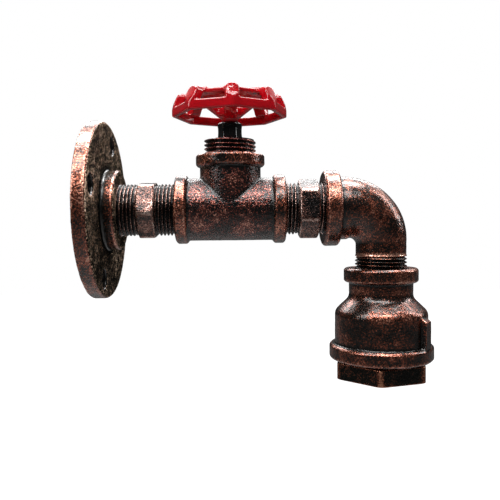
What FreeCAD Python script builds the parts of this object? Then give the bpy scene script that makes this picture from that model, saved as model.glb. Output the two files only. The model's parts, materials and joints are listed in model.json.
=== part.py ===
import FreeCAD, Part
import math
import os
import re

import Sketcher

# Wall light made of threaded pipe fittings.  Millimetres.
# Origin: centre of the flange's back face, on the wall.  +X runs out from the
# wall along the pipe axis, +Z is up, and Y = 0 is the light's middle plane.

doc = FreeCAD.newDocument("pipe_wall_light")
sheet = doc.addObject("Spreadsheet::Sheet", "Sizes")

SIZES = {
    # pipe threads, as plain cylinders of the thread's largest radius
    "pipe_radius": 13.22,
    "large_radius": 20.955,
    "outlet_radius": 16.62,
    "pipe_bore": 10.0,
    "thread_edge": 0.8,
    "thread_grip": 10.0,
    "thread_spare": 1.0,
    # wall flange
    "flange_radius": 45.0,
    "flange_plate": 6.6,
    "flange_edge": 0.9,
    "hub_radius": 20.3,
    "hub_height": 6.4,
    "hub_root": 1.0,
    "screw_margin": 9.0,
    "screw_hole": 4.75,
    "screw_sink": 0.7,
    "screw_count": 4,
    "screw_turn": -161.9,
    # gaps of bare thread and hexagons along the arm
    "wall_gap": 9.6,
    "wall_hex": 8.6,
    "tee_gap_in": 10.1,
    "tee_gap_out": 6.9,
    "arm_hex": 10.0,
    "elbow_gap": 2.4,
    "nipple_flats": 27.2,
    "hex_edge": 1.6,
    "wall_hex_turn": 7.0,
    "arm_hex_turn": 23.0,
    # tee
    "tee_half": 27.9,
    "tee_height": 27.9,
    "tee_body": 16.0,
    "tee_branch": 15.6,
    "tee_collar": 17.6,
    "tee_band": 6.3,
    "tee_passage": 11.8,
    "branch_passage": 11.0,
    "cast_edge": 1.0,
    # street elbow
    "elbow_reach": 30.3,
    "elbow_collar": 19.35,
    "elbow_band": 8.0,
    "elbow_body": 16.1,
    "elbow_drop": 12.9,
    "elbow_bend": 18.0,
    "elbow_shank": 6.5,
    "elbow_passage": 10.5,
    "elbow_grip": 14.6,
    # bell reducer
    "reducer_drop": 30.9,
    "reducer_height": 47.0,
    "reducer_grip": 14.6,
    "small_collar": 19.0,
    "small_band": 7.4,
    "neck_radius": 16.4,
    "neck_height": 15.2,
    "shoulder": 7.1,
    "shoulder_round": 5.0,
    "bell_radius": 23.75,
    "large_collar": 26.65,
    "large_band": 7.6,
    "rib_reach": 26.3,
    "rib_width": 5.6,
    "rib_slope": 3.5,
    "rib_count": 2,
    "rib_turn": -42.0,
    "chamber_radius": 20.2,
    "chamber_mouth": 17.0,
    "seat_depth": 22.1,
    # hexagon bushing at the mouth
    "bushing_grip": 16.5,
    "bushing_gap": 1.0,
    "bushing_hex": 8.5,
    "bushing_flats": 43.6,
    "bushing_edge": 1.1,
    "bushing_turn": 16.4,
    # bonnet, gland and stem on top of the tee
    "bonnet_grip": 14.0,
    "bonnet_rise": 7.3,
    "bonnet_cup": 4.8,
    "bonnet_floor": 11.8,
    "gland_height": 8.8,
    "gland_flats": 11.6,
    "gland_edge": 0.9,
    "packing_height": 3.2,
    "stem_radius": 3.0,
    "stem_fit": 0.08,
    "stem_tail": 4.4,
    "stem_square": 4.2,
    "stem_thread": 2.0,
    "ring_radius": 5.2,
    "ring_thick": 1.0,
    "ring_groove": 0.5,
    "play": 0.3,
    # handwheel
    "wheel_radius": 29.3,
    "wheel_sides": 8,
    "wheel_turn": 4.0,
    "wheel_lift": 2.7,
    "skirt_height": 4.2,
    "skirt_wall": 2.4,
    "lobe_width": 6.3,
    "lobe_height": 11.8,
    "lobe_crown": 24.1,
    "lobe_brow": 25.8,
    "lobe_cheek": 28.4,
    "lobe_thick": 1.9,
    "face_drop": 0.9,
    "face_outer": 20.3,
    "face_inner": 16.0,
    "arch_drop": 2.4,
    "web_hole_near": 6.5,
    "web_hole_far": 11.5,
    "web_hole_spread": 24.0,
    "wheel_hub": 4.15,
    "wheel_hub_height": 8.0,
    "spoke_count": 4,
    "web_thick": 2.4,
    "washer_radius": 4.4,
    "washer_thick": 0.8,
    "nut_flats": 7.0,
    "nut_height": 3.0,
    "stem_proud": 1.2,
    # lamp holder
    "holder_rim": 19.6,
    "holder_skirt": 16.1,
    "holder_inset": 2.9,
    "holder_floor": 5.0,
    "shell_radius": 14.05,
    "shell_wall": 0.7,
    "shell_inset": 1.5,
    "shell_grip": 18.0,
    "shell_step": 1.05,
    "shell_hole": 6.0,
    "contact_head": 3.4,
    "contact_thick": 1.0,
    "contact_stem": 1.5,
    "contact_fit": 0.06,
    "contact_drop": 5.0,
    "contact_tail": 1.6,
    "clip_radius": 2.6,
    "clip_thick": 0.6,
    "spring_inside": 2.0,
    "spring_outside": 2.8,
    "terminal_length": 6.0,
    "terminal_width": 5.5,
    "terminal_height": 5.2,
    "foot_thick": 0.8,
    "foot_width": 4.0,
    "screw_shank": 1.5,
    "screw_head": 2.5,
    "screw_head_height": 1.6,
    "rivet_shank": 1.2,
    "rivet_head": 2.0,
    "rivet_head_height": 0.7,
    "rivet_circle": 10.0,
    # inner leads
    "lead_radius": 1.2,
    "core_radius": 0.7,
    "core_length": 4.0,
    "lead_spread": 4.0,
    "lead_drop": 6.0,
    "lead_inset": 2.0,
    "ferrule_radius": 1.2,
}

# Places along the pipe axis and below it, as formulas of the sizes.
FLANGE_FACE = "(flange_plate + hub_height)"
WALL_HEX = "(flange_plate + hub_height + wall_gap)"
TEE_FACE = "(flange_plate + hub_height + wall_gap + wall_hex + tee_gap_in)"
TEE_X = f"({TEE_FACE} + tee_half)"
ARM_HEX = f"({TEE_X} + tee_half + tee_gap_out)"
ELBOW_FACE = f"({ARM_HEX} + arm_hex + elbow_gap)"
DROP_X = f"({ELBOW_FACE} + elbow_reach)"
SEAT_Z = "(0 - reducer_drop - seat_depth)"
RIM_THICK = "(reducer_height - seat_depth - bushing_grip)"
MOUTH_Z = "(0 - reducer_drop - reducer_height)"
BUSHING_END = f"({MOUTH_Z} - bushing_gap - bushing_hex)"
HOLDER_HEIGHT = f"({SEAT_Z} - {BUSHING_END} - holder_inset)"
BONNET_TOP = "(tee_height + bonnet_rise)"
CUP_FLOOR = "(tee_height - bonnet_grip + bonnet_floor)"
GLAND_TOP = f"({BONNET_TOP} + gland_height)"
HUB_BASE = f"({GLAND_TOP} + play)"
SKIRT_BASE = f"({HUB_BASE} + wheel_lift)"
HUB_TOP = f"({HUB_BASE} + wheel_hub_height)"


def fill_sheet():
    for row, (name, number) in enumerate(SIZES.items(), start=1):
        sheet.set(f"A{row}", name)
        sheet.set(f"B{row}", str(number))
        sheet.setAlias(f"B{row}", name)
    doc.recompute()


def link(formula):
    """The formula with each size name pointed at its cell."""
    return re.sub(r"[a-z_]+", lambda word: "Sizes." + word[0] if word[0] in SIZES else word[0], str(formula))


def value(formula):
    result = sheet.evalExpression(link(formula))
    return float(getattr(result, "Value", result))


def plane_of(body, role):
    return [feature for feature in body.Origin.OriginFeatures if feature.Role == role][0]


def make_body(name, x=None, z=None, y=None, turn=None, axis=(0, 0, 1)):
    """A sub-part with its place, and its turn about an axis, bound to the sizes."""
    body = doc.addObject("PartDesign::Body", name)
    body.Label = name
    place(body, x, y, z, turn, axis)
    return body


def place(piece, x, y, z, turn=None, axis=(0, 0, 1)):
    if turn is not None:
        piece.Placement = FreeCAD.Placement(FreeCAD.Vector(), FreeCAD.Rotation(FreeCAD.Vector(*axis), value(turn)))
        piece.setExpression("Placement.Rotation.Angle", link(turn))
    for letter, formula in (("x", x), ("y", y), ("z", z)):
        if formula is not None:
            piece.setExpression(f"Placement.Base.{letter}", link(formula))


def new_sketch(body, name, role, offset=None):
    sketch = body.newObject("Sketcher::SketchObject", name)
    sketch.AttachmentSupport = [(plane_of(body, role), "")]
    sketch.MapMode = "FlatFace"
    if offset is not None:
        sketch.setExpression("AttachmentOffset.Base.z", link(offset))
    return sketch


def pin_point(sketch, geometry, point, x, y):
    """Bind one point of the sketch to two formulas."""
    for kind, formula in (("DistanceX", x), ("DistanceY", y)):
        number = sketch.addConstraint(
            Sketcher.Constraint(kind, -1, 1, geometry, point, value(formula)))
        sketch.setExpression(f"Constraints[{number}]", link(formula))


def add_loop(sketch, points):
    """A closed loop of straight lines through (x, y) pairs of formulas."""
    corners = [FreeCAD.Vector(value(x), value(y), 0) for x, y in points]
    first = sketch.GeometryCount
    count = len(points)
    for number in range(count):
        sketch.addGeometry(Part.LineSegment(corners[number], corners[(number + 1) % count]))
    for number in range(count):
        following = first + (number + 1) % count
        sketch.addConstraint(Sketcher.Constraint("Coincident", first + number, 2, following, 1))
    for number, (x, y) in enumerate(points):
        pin_point(sketch, first + number, 1, x, y)


def add_circle(sketch, x, y, radius):
    centre = FreeCAD.Vector(value(x), value(y), 0)
    circle = sketch.addGeometry(Part.Circle(centre, FreeCAD.Vector(0, 0, 1), value(radius)))
    pin_point(sketch, circle, 3, x, y)
    number = sketch.addConstraint(Sketcher.Constraint("Radius", circle, value(radius)))
    sketch.setExpression(f"Constraints[{number}]", link(radius))


def polygon_points(sides, radius, turn=0):
    """Corners of a regular polygon, as formulas of its corner radius."""
    step = 360 / sides
    return [(f"{radius} * cos({turn + step * number} deg)", f"{radius} * sin({turn + step * number} deg)")
            for number in range(sides)]


def hexagon(flats):
    return polygon_points(6, f"({flats} / 2 / cos(30 deg))")


def spin(body, kind, name, points, axis):
    """Turn an outline round the body's X axis (along, out) or Z axis (out, up)."""
    role, reference = {"X": ("XY_Plane", "H_Axis"), "Z": ("XZ_Plane", "V_Axis")}[axis]
    sketch = new_sketch(body, name + "Outline", role)
    add_loop(sketch, points)
    feature = body.newObject("PartDesign::" + kind, name)
    feature.Profile = sketch
    feature.ReferenceAxis = (sketch, [reference])
    feature.Angle = 360
    doc.recompute()
    return feature


def revolve(body, name, points, axis="Z"):
    return spin(body, "Revolution", name, points, axis)


def groove(body, name, points, axis="Z"):
    """A turned cut, which has to take material away."""
    before = body.Shape.Volume
    feature = spin(body, "Groove", name, points, axis)
    must_shrink(body, name, before)
    return feature


def must_shrink(body, name, before):
    if body.Shape.Volume >= before - 1e-6:
        raise ValueError(f"{body.Label}: {name} takes nothing away")


def pad(body, name, role, loops, length, offset=None, middle=False, upside_down=False):
    sketch = new_sketch(body, name + "Outline", role, offset)
    for points in loops:
        add_loop(sketch, points)
    feature = body.newObject("PartDesign::Pad", name)
    feature.Profile = sketch
    feature.setExpression("Length", link(length))
    if middle:
        feature.SideType = "Symmetric"
    feature.Reversed = upside_down
    doc.recompute()
    return feature


def pocket(body, name, sketch, depth, reverse=False):
    """A straight cut from the sketch, which has to take material away."""
    before = body.Shape.Volume
    feature = body.newObject("PartDesign::Pocket", name)
    feature.Profile = sketch
    feature.setExpression("Length", link(depth))
    feature.Reversed = reverse
    doc.recompute()
    must_shrink(body, name, before)
    return feature


def polar(body, name, originals, role, count):
    """Copies of features, evenly round one of the body's axes."""
    pattern = body.newObject("PartDesign::PolarPattern", name)
    pattern.Originals = originals
    pattern.Axis = (plane_of(body, role), [""])
    pattern.Angle = 360
    pattern.setExpression("Occurrences", link(count))
    body.Tip = pattern
    doc.recompute()
    return pattern


def ring_edges(body, places, axis="Z"):
    """Names of the round edges at (position along the axis, radius)."""
    wanted = [(value(where), value(radius)) for where, radius in places]
    names = []
    for number, edge in enumerate(body.Shape.Edges, start=1):
        curve = edge.Curve
        if curve.TypeId != "Part::GeomCircle":
            continue
        centre = body.Placement.inverse().multVec(curve.Center)
        along, across = (centre.x, centre.z) if axis == "X" else (centre.z, centre.x)
        for where, radius in wanted:
            if abs(along - where) + abs(across) + abs(centre.y) < 0.01 and abs(curve.Radius - radius) < 0.01:
                names.append(f"Edge{number}")
    return names


def dress(body, kind, name, edges, size):
    """A Fillet or Chamfer on the named edges of the body as it stands."""
    if not edges:
        raise ValueError(f"{body.Label}: {name} finds no edges")
    feature = body.newObject("PartDesign::" + kind, name)
    feature.Base = (feature.BaseFeature, edges)
    feature.setExpression("Radius" if kind == "Fillet" else "Size", link(size))
    doc.recompute()
    return feature


# --- wall flange ---------------------------------------------------------


def wall_flange():
    """Round plate with a raised hub, a pipe thread through it and four screw holes."""
    body = make_body("wall_flange")
    revolve(body, "Plate", [
        ("0", "pipe_radius"),
        ("0", "flange_radius"),
        ("flange_plate", "flange_radius"),
        ("flange_plate", "hub_radius"),
        (FLANGE_FACE, "hub_radius"),
        (FLANGE_FACE, "pipe_radius"),
    ], "X")
    sketch = new_sketch(body, "ScrewHoleOutline", "YZ_Plane")
    across = "(flange_radius - screw_margin) * cos(screw_turn * 1 deg)"
    up = "(flange_radius - screw_margin) * sin(screw_turn * 1 deg)"
    add_circle(sketch, across, f"0 - {up}", "screw_hole")
    hole = pocket(body, "ScrewHole", sketch, "flange_plate", reverse=True)
    polar(body, "ScrewHoles", [hole], "X_Axis", "screw_count")
    dress(body, "Fillet", "HubRoot", ring_edges(body, [("flange_plate", "hub_radius")], "X"), "hub_root")
    rims = [("flange_plate", "flange_radius"), (FLANGE_FACE, "hub_radius")]
    dress(body, "Chamfer", "FlangeEdge", ring_edges(body, rims, "X"), "flange_edge")
    dress(body, "Chamfer", "ScrewSink", screw_mouths(body), "screw_sink")
    return body


def screw_mouths(body):
    """Front edges of the screw holes."""
    names = []
    for number, edge in enumerate(body.Shape.Edges, start=1):
        curve = edge.Curve
        if curve.TypeId == "Part::GeomCircle" and abs(curve.Radius - value("screw_hole")) < 0.01:
            if abs(curve.Center.x - value("flange_plate")) < 0.01:
                names.append(f"Edge{number}")
    return names


# --- hexagon nipples -----------------------------------------------------


def hex_nipple(name, x, width, near, far, turn):
    """Pipe with a thread at each end and a chamfered hexagon between them."""
    body = make_body(name, x=x, turn=turn, axis=(1, 0, 0))
    pad(body, "Hexagon", "YZ_Plane", [hexagon("nipple_flats")], width)
    corner = "(nipple_flats / 2 / cos(30 deg))"
    fall = "(hex_edge * tan(30 deg))"
    groove(body, "NearCorners", [
        (f"0 - {fall}", f"{corner} - hex_edge - hex_edge"),
        (f"0 - {fall}", f"{corner} + hex_edge"),
        (f"{fall} + {fall}", f"{corner} + hex_edge"),
    ], "X")
    groove(body, "FarCorners", [
        (f"{width} + {fall}", f"{corner} - hex_edge - hex_edge"),
        (f"{width} + {fall}", f"{corner} + hex_edge"),
        (f"{width} - {fall} - {fall}", f"{corner} + hex_edge"),
    ], "X")
    revolve(body, "Threads", [
        (f"0 - {near}", "pipe_bore"),
        (f"0 - {near}", "pipe_radius - thread_edge"),
        (f"thread_edge - {near}", "pipe_radius"),
        (f"{width} + {far} - thread_edge", "pipe_radius"),
        (f"{width} + {far}", "pipe_radius - thread_edge"),
        (f"{width} + {far}", "pipe_bore"),
    ], "X")
    groove(body, "Bore", [
        (f"0 - {near}", "0"),
        (f"0 - {near}", "pipe_bore"),
        (f"{width} + {far}", "pipe_bore"),
        (f"{width} + {far}", "0"),
    ], "X")
    return body


# --- tee -----------------------------------------------------------------


def tee():
    """Cast tee: a run along X and a branch up, each end banded and threaded."""
    body = make_body("tee", x=TEE_X)
    revolve(body, "Run", [
        ("0 - tee_half", "0"),
        ("0 - tee_half", "tee_collar"),
        ("tee_band - tee_half", "tee_collar"),
        ("tee_band - tee_half", "tee_body"),
        ("tee_half - tee_band", "tee_body"),
        ("tee_half - tee_band", "tee_collar"),
        ("tee_half", "tee_collar"),
        ("tee_half", "0"),
    ], "X")
    revolve(body, "Branch", [
        ("0", "0"),
        ("tee_branch", "0"),
        ("tee_branch", "tee_height - tee_band"),
        ("tee_collar", "tee_height - tee_band"),
        ("tee_collar", "tee_height"),
        ("0", "tee_height"),
    ])
    ends = [(f"{side} * tee_half", "tee_collar") for side in (-1, 1)]
    ends += [(f"{side} * (tee_half - tee_band)", "tee_collar") for side in (-1, 1)]
    dress(body, "Chamfer", "RunBands", ring_edges(body, ends, "X"), "cast_edge")
    tops = [("tee_height", "tee_collar"), ("tee_height - tee_band", "tee_collar")]
    dress(body, "Chamfer", "BranchBand", ring_edges(body, tops), "cast_edge")
    depth = "(thread_grip + thread_spare)"
    groove(body, "RunBore", [
        ("0 - tee_half", "0"),
        ("0 - tee_half", "pipe_radius"),
        (f"{depth} - tee_half", "pipe_radius"),
        (f"{depth} - tee_half", "tee_passage"),
        (f"tee_half - {depth}", "tee_passage"),
        (f"tee_half - {depth}", "pipe_radius"),
        ("tee_half", "pipe_radius"),
        ("tee_half", "0"),
    ], "X")
    floor = "(tee_height - bonnet_grip - thread_spare)"
    groove(body, "BranchBore", [
        ("0", "0"),
        ("branch_passage", "0"),
        ("branch_passage", floor),
        ("pipe_radius", floor),
        ("pipe_radius", "tee_height"),
        ("0", "tee_height"),
    ])
    return body


# --- street elbow --------------------------------------------------------


def quarter_path(sketch, radius):
    """Quarter circle from (-bend, 0) down to (0, -bend), or one concentric with it."""
    bend = value("elbow_bend")
    centre = FreeCAD.Vector(-bend, -bend, 0)
    circle = Part.Circle(centre, FreeCAD.Vector(0, 0, 1), value(radius))
    arc = sketch.addGeometry(Part.ArcOfCircle(circle, 0, math.pi / 2))
    pin_point(sketch, arc, 3, "0 - elbow_bend", "0 - elbow_bend")
    pin_point(sketch, arc, 1, f"{radius} - elbow_bend", "0 - elbow_bend")
    sketch.addConstraint(Sketcher.Constraint("Vertical", arc, 2, arc, 3))
    return arc


def street_elbow():
    """Cast elbow: banded female end on the arm, tapering bend, male thread down."""
    body = make_body("street_elbow", x=DROP_X)
    revolve(body, "Socket", [
        ("0 - elbow_reach", "0"),
        ("0 - elbow_reach", "elbow_collar"),
        ("elbow_band - elbow_reach", "elbow_collar"),
        ("elbow_band - elbow_reach", "elbow_body"),
        ("0 - elbow_bend", "elbow_body"),
        ("0 - elbow_bend", "0"),
    ], "X")
    path = new_sketch(body, "BendPath", "XZ_Plane")
    quarter_path(path, "elbow_bend")
    start = new_sketch(body, "BendStart", "YZ_Plane", "0 - elbow_bend")
    add_circle(start, "0", "0", "elbow_body")
    end = new_sketch(body, "BendEnd", "XY_Plane", "0 - elbow_bend")
    add_circle(end, "0", "0", "elbow_drop")
    bend = body.newObject("PartDesign::AdditivePipe", "Bend")
    bend.Profile = start
    bend.Spine = (path, ["Edge1"])
    bend.Sections = [(end, [""])]
    bend.Transformation = "Multisection"
    doc.recompute()
    tail = "(0 - reducer_drop - reducer_grip)"
    revolve(body, "Leg", [
        ("0", "0 - elbow_bend"),
        ("elbow_drop", "0 - elbow_bend"),
        ("elbow_drop", "0 - elbow_bend - elbow_shank"),
        ("pipe_radius", "0 - elbow_bend - elbow_shank"),
        ("pipe_radius", f"{tail} + thread_edge"),
        ("pipe_radius - thread_edge", tail),
        ("0", tail),
    ])
    rims = [("0 - elbow_reach", "elbow_collar"), ("elbow_band - elbow_reach", "elbow_collar")]
    dress(body, "Chamfer", "Band", ring_edges(body, rims, "X"), "cast_edge")
    mouth = "(elbow_grip + thread_spare - elbow_reach)"
    groove(body, "SocketBore", [
        ("0 - elbow_reach", "0"),
        ("0 - elbow_reach", "pipe_radius"),
        (mouth, "pipe_radius"),
        (mouth, "elbow_passage"),
        (mouth, "0"),
    ], "X")
    before = body.Shape.Volume
    hollow = new_sketch(body, "PassageRound", "XY_Plane", "0 - elbow_bend")
    add_circle(hollow, "0", "0", "elbow_passage")
    hinge = hollow.addGeometry(Part.LineSegment(
        FreeCAD.Vector(-value("elbow_bend"), -1, 0), FreeCAD.Vector(-value("elbow_bend"), 1, 0)), True)
    pin_point(hollow, hinge, 1, "0 - elbow_bend", "0 - 1")
    pin_point(hollow, hinge, 2, "0 - elbow_bend", "1")
    passage = body.newObject("PartDesign::Groove", "Passage")
    passage.Profile = hollow
    passage.ReferenceAxis = (hollow, ["Axis0"])
    passage.Angle = 90
    passage.Reversed = True
    doc.recompute()
    must_shrink(body, "Passage", before)
    groove(body, "LegBore", [
        ("0", "0 - elbow_bend"),
        ("elbow_passage", "0 - elbow_bend"),
        ("elbow_passage", tail),
        ("0", tail),
    ])
    return body


# --- bell reducer --------------------------------------------------------


def bell_reducer():
    """Cast reducer: banded small end up, shoulder, ribbed bell, banded large end."""
    body = make_body("bell_reducer", x=DROP_X, z="0 - reducer_drop", turn="rib_turn")
    foot = "(0 - reducer_height)"
    revolve(body, "Bell", [
        ("0", "0"),
        ("small_collar", "0"),
        ("small_collar", "0 - small_band"),
        ("neck_radius", "0 - small_band"),
        ("neck_radius", "0 - neck_height"),
        ("bell_radius", "0 - neck_height - shoulder"),
        ("bell_radius", f"{foot} + large_band"),
        ("large_collar", f"{foot} + large_band"),
        ("large_collar", foot),
        ("0", foot),
    ])
    rims = [("0", "small_collar"), ("0 - small_band", "small_collar")]
    rims += [(foot, "large_collar"), (f"{foot} + large_band", "large_collar")]
    dress(body, "Chamfer", "Bands", ring_edges(body, rims), "cast_edge")
    bends = [("0 - neck_height", "neck_radius"), ("0 - neck_height - shoulder", "bell_radius")]
    dress(body, "Fillet", "Shoulder", ring_edges(body, bends), "shoulder_round")
    inside = "bell_radius - rib_width / 2"
    root = f"({foot} + large_band - cast_edge - cast_edge)"
    rib = pad(body, "Rib", "XZ_Plane", [[
        (inside, root),
        ("rib_reach", root),
        ("rib_reach", "0 - neck_height - shoulder - rib_slope"),
        (inside, "0 - neck_height - shoulder"),
    ]], "rib_width", middle=True)
    polar(body, "Ribs", [rib], "Z_Axis", "rib_count")
    depth = "(0 - reducer_grip - thread_spare)"
    groove(body, "Inside", [
        ("0", "0"),
        ("pipe_radius", "0"),
        ("pipe_radius", depth),
        ("chamber_mouth", f"{depth} - chamber_mouth + pipe_radius"),
        ("chamber_mouth", "0 - seat_depth"),
        ("chamber_radius", "0 - seat_depth"),
        ("chamber_radius", f"{foot} + bushing_grip + thread_spare"),
        ("large_radius", f"{foot} + bushing_grip + thread_spare"),
        ("large_radius", foot),
        ("0", foot),
    ])
    return body


# --- hexagon bushing -----------------------------------------------------


def hex_bushing():
    """Bushing screwed into the reducer; its hexagon shows and its bore is the outlet."""
    body = make_body("hex_bushing", x=DROP_X, z=f"{MOUTH_Z} - bushing_gap", turn="bushing_turn")
    pad(body, "Hexagon", "XY_Plane", [hexagon("bushing_flats")], "bushing_hex", upside_down=True)
    corner = "(bushing_flats / 2 / cos(30 deg))"
    fall = "(bushing_edge * tan(30 deg))"
    groove(body, "LowerCorners", [
        (f"{corner} - bushing_edge - bushing_edge", f"0 - bushing_hex - {fall}"),
        (f"{corner} + bushing_edge", f"0 - bushing_hex - {fall}"),
        (f"{corner} + bushing_edge", f"{fall} + {fall} - bushing_hex"),
    ])
    revolve(body, "Thread", [
        ("outlet_radius", "0 - bushing_hex"),
        ("large_radius", "0 - bushing_hex"),
        ("large_radius", "bushing_gap + bushing_grip - thread_edge"),
        ("large_radius - thread_edge", "bushing_gap + bushing_grip"),
        ("outlet_radius", "bushing_gap + bushing_grip"),
    ])
    groove(body, "Outlet", [
        ("0", "0 - bushing_hex"),
        ("outlet_radius", "0 - bushing_hex"),
        ("outlet_radius", "0"),
        ("0", "0"),
    ])
    return body


# --- bonnet, gland and stem ----------------------------------------------


def bonnet():
    """Threaded plug in the tee's branch, bored for the stem and its gland."""
    body = make_body("bonnet", x=TEE_X)
    base = "(tee_height - bonnet_grip)"
    revolve(body, "Plug", [
        ("stem_radius + stem_fit", base),
        ("pipe_radius - thread_edge", base),
        ("pipe_radius", f"{base} + thread_edge"),
        ("pipe_radius", f"{BONNET_TOP} - thread_edge"),
        ("pipe_radius - thread_edge", BONNET_TOP),
        ("bonnet_cup", BONNET_TOP),
        ("bonnet_cup", CUP_FLOOR),
        ("stem_radius + stem_fit", CUP_FLOOR),
    ])
    return body


def gland_packing():
    """Ring that rides on the stem under the gland nut."""
    body = make_body("gland_packing", x=TEE_X, z=CUP_FLOOR)
    revolve(body, "Ring", [
        ("stem_radius + stem_fit", "0"),
        ("bonnet_cup", "0"),
        ("bonnet_cup", "packing_height"),
        ("stem_radius + stem_fit", "packing_height"),
    ])
    return body


def gland_nut():
    """Tall hexagon nut whose spigot holds the packing down."""
    body = make_body("gland_nut", x=TEE_X, z=BONNET_TOP)
    pad(body, "Hexagon", "XY_Plane", [hexagon("gland_flats")], "gland_height")
    corner = "(gland_flats / 2 / cos(30 deg))"
    fall = "(gland_edge * tan(30 deg))"
    groove(body, "TopCorners", [
        (f"{corner} - gland_edge - gland_edge", f"gland_height + {fall}"),
        (f"{corner} + gland_edge", f"gland_height + {fall}"),
        (f"{corner} + gland_edge", f"gland_height - {fall} - {fall}"),
    ])
    spigot = f"({BONNET_TOP} - {CUP_FLOOR} - packing_height)"
    revolve(body, "Spigot", [
        ("0", f"0 - {spigot}"),
        ("bonnet_cup", f"0 - {spigot}"),
        ("bonnet_cup", "0"),
        ("0", "0"),
    ])
    groove(body, "Bore", [
        ("0", f"0 - {spigot}"),
        ("stem_radius + stem_fit", f"0 - {spigot}"),
        ("stem_radius + stem_fit", "gland_height"),
        ("0", "gland_height"),
    ])
    return body


def valve_stem():
    """Round stem with a ring groove, a square for the wheel and a thread on top."""
    body = make_body("valve_stem", x=TEE_X, turn="wheel_turn")
    ring_top = "(tee_height - bonnet_grip - play)"
    tail = f"({ring_top} - stem_tail)"
    revolve(body, "Shaft", [
        ("0", tail),
        ("stem_radius", tail),
        ("stem_radius", f"{ring_top} - ring_thick"),
        ("stem_radius - ring_groove", f"{ring_top} - ring_thick"),
        ("stem_radius - ring_groove", ring_top),
        ("stem_radius", ring_top),
        ("stem_radius", HUB_BASE),
        ("0", HUB_BASE),
    ])
    half = "stem_square / 2"
    pad(body, "Square", "XY_Plane", [[
        (f"0 - {half}", f"0 - {half}"),
        (half, f"0 - {half}"),
        (half, half),
        (f"0 - {half}", half),
    ]], "wheel_hub_height", offset=HUB_BASE)
    revolve(body, "Thread", [
        ("0", HUB_TOP),
        ("stem_thread", HUB_TOP),
        ("stem_thread", f"{HUB_TOP} + washer_thick + nut_height + stem_proud"),
        ("0", f"{HUB_TOP} + washer_thick + nut_height + stem_proud"),
    ])
    return body


def stem_ring():
    """Snap ring in the stem's groove, under the bonnet."""
    body = make_body("stem_ring", x=TEE_X, z="tee_height - bonnet_grip - play - ring_thick")
    revolve(body, "Ring", [
        ("stem_radius - ring_groove", "0"),
        ("ring_radius", "0"),
        ("ring_radius", "ring_thick"),
        ("stem_radius - ring_groove", "ring_thick"),
    ])
    return body


# --- handwheel -----------------------------------------------------------


def valley(body, name, inner, outer, base, depth):
    """Cut between two neighbouring lobes, from one radius to another."""
    sketch = new_sketch(body, name + "Outline", "XY_Plane", base)
    step = 360 / SIZES["wheel_sides"]
    half = "(lobe_width / 2)"
    points = []
    for radius in (inner, outer):
        reach = f"sqrt({radius} * {radius} - {half} * {half})"
        near = (reach, half)
        far = (f"({reach} * cos({step} deg) + {half} * sin({step} deg))",
               f"({reach} * sin({step} deg) - {half} * cos({step} deg))")
        points += [near, far] if radius == inner else [far, near]
    add_loop(sketch, points)
    return pocket(body, name, sketch, depth, reverse=True)


def lobe_arch(body):
    """Cut that rounds one lobe's top, outside the wheel's flat face."""
    sketch = new_sketch(body, "ArchOutline", "YZ_Plane", "face_outer")
    for side in (-1, 1):
        steps = ((0.08, 0), (0.28, 0.18), (0.42, 0.5), (0.5, 1), (0.62, 1))
        points = [(f"{side} * lobe_width * {across}", f"lobe_height - arch_drop * {down}")
                  for across, down in steps]
        points += [(f"{side} * lobe_width * {across}", "lobe_height + 1") for across in (0.62, 0.08)]
        add_loop(sketch, points)
    return pocket(body, "Arch", sketch, "wheel_radius + 4 - face_outer", reverse=True)


def web_hole(body):
    """Opening through the conical web, midway between two spokes."""
    sketch = new_sketch(body, "WebHoleOutline", "XY_Plane", "0 - wheel_lift")
    low = "(180 / spoke_count - web_hole_spread)"
    high = "(180 / spoke_count + web_hole_spread)"
    add_loop(sketch, [
        (f"{radius} * cos({angle} * 1 deg)", f"{radius} * sin({angle} * 1 deg)")
        for radius, angle in (("web_hole_near", low), ("web_hole_far", low),
                              ("web_hole_far", high), ("web_hole_near", high))
    ])
    return pocket(body, "WebHole", sketch, "lobe_height + wheel_lift", reverse=True)


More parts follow.
